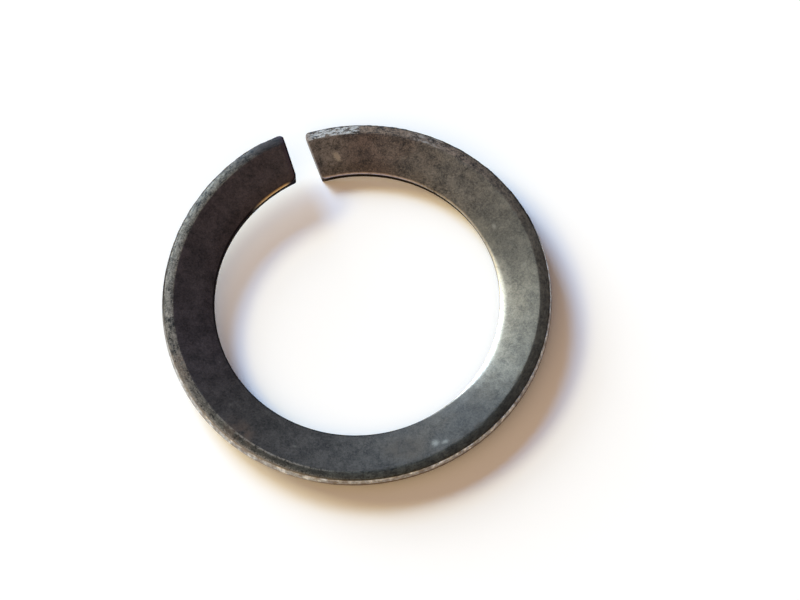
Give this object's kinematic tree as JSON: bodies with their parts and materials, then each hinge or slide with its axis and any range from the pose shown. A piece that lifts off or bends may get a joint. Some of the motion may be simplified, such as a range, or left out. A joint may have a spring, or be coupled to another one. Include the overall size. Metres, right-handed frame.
{
  "type": "lock ring",
  "caption": "Split spring lock ring of flat blackened steel, slightly coned, with a straight slot, a chamfered outer edge and ends that stand at different heights.",
  "frame": {"origin": "on the axis of the bore, at the plane that the ring rests on", "axes": "+Z along the axis of the bore, upwards with the raised outer edge and the chamfer on top; +Y through the middle of the slot; the low end is on the +X side of the slot and the high end on the -X side"},
  "size_m": [0.04, 0.0399, 0.0041],
  "materials": {
    "blackened_steel": "satin"
  },
  "bodies": {
    "root": {"lock_ring": "blackened_steel"}
  },
  "joints": []
}
